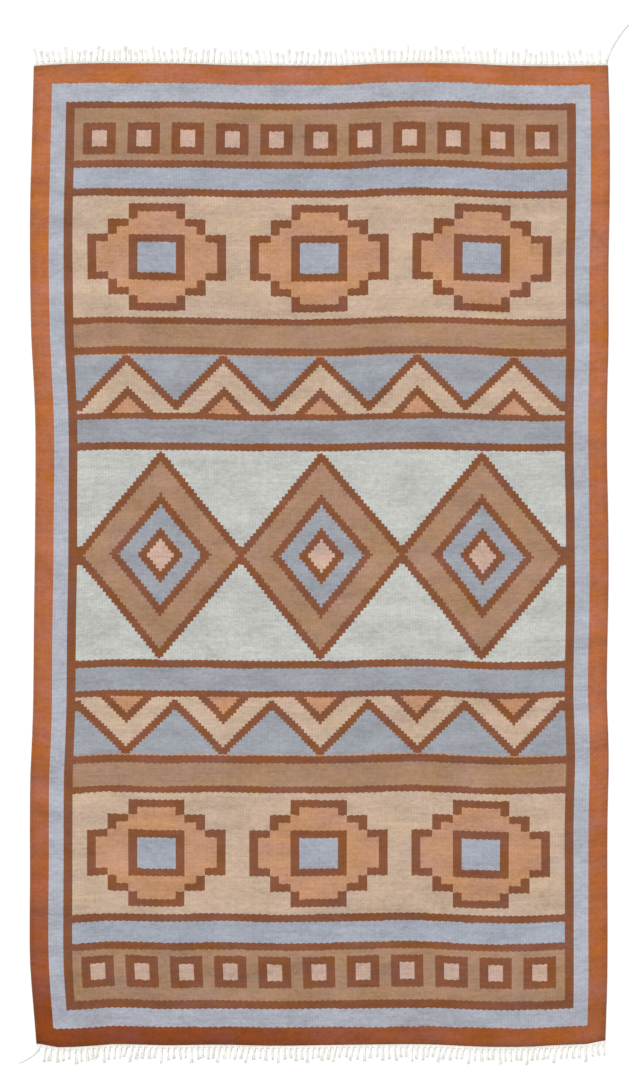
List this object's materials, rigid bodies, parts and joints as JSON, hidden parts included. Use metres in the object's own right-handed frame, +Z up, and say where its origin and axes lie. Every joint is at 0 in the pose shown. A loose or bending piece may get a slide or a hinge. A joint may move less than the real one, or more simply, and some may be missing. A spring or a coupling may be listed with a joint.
{
  "type": "flatweave rug",
  "caption": "Long rectangular flatweave rug lying flat, with plain borders round a stepped geometric field and a short knotted warp fringe at each end.",
  "frame": {"origin": "middle of the woven cloth's underside, on the floor", "axes": "+Y along the warp to the end shown at the top of the picture, +X to the picture's right, +Z up out of the floor"},
  "size_m": [1.2762, 2.1771, 0.0046],
  "materials": {
    "wool_weave": "weft-faced flat weave in matt wool",
    "cotton_warp": "loosely twisted undyed cotton"
  },
  "bodies": {
    "root": {"woven_cloth": "wool_weave", "fringe_top": "cotton_warp", "fringe_bottom": "cotton_warp"}
  },
  "joints": []
}
